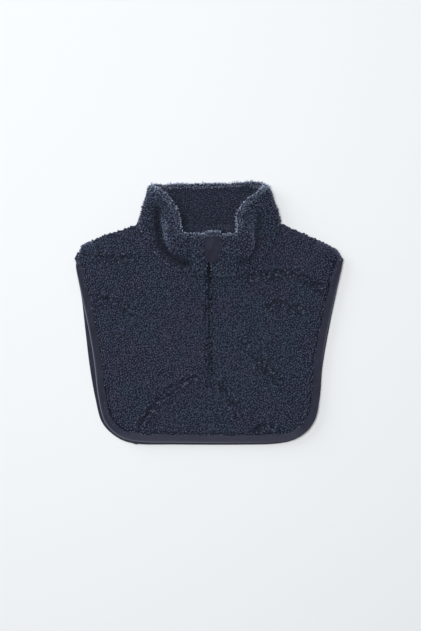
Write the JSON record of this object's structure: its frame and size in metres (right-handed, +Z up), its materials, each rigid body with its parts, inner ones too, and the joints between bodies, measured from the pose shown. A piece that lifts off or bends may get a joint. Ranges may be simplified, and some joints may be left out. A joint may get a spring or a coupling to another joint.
{
  "type": "snood bib",
  "caption": "Thick pile fleece snood bib: a stand collar with a half zip on front and back bib panels, with bound edges, lying flat.",
  "frame": {"origin": "on the surface that it lies on, under the middle of its bounding box", "axes": "+X to the right of the front as it lies, +Y from the hem to the collar, +Z up off the surface, out of the front panel"},
  "size_m": [0.4206, 0.4098, 0.0523],
  "materials": {
    "fleece": "curly looped pile fleece, very matt, dark navy",
    "binding_tape": "smooth folded tape, fine weave, stitched along its inner edge",
    "zip": "dark coil zip on a woven tape",
    "zip_slider": "dark lacquered metal",
    "flap_fabric": "smooth close-woven fabric with a soft sheen"
  },
  "bodies": {
    "root": {"front_panel": "fleece", "back_panel": "fleece", "collar": "fleece", "edge_binding": "binding_tape", "zip_chain": "zip", "zip_slider": "zip_slider", "zip_flap": "flap_fabric"}
  },
  "joints": []
}
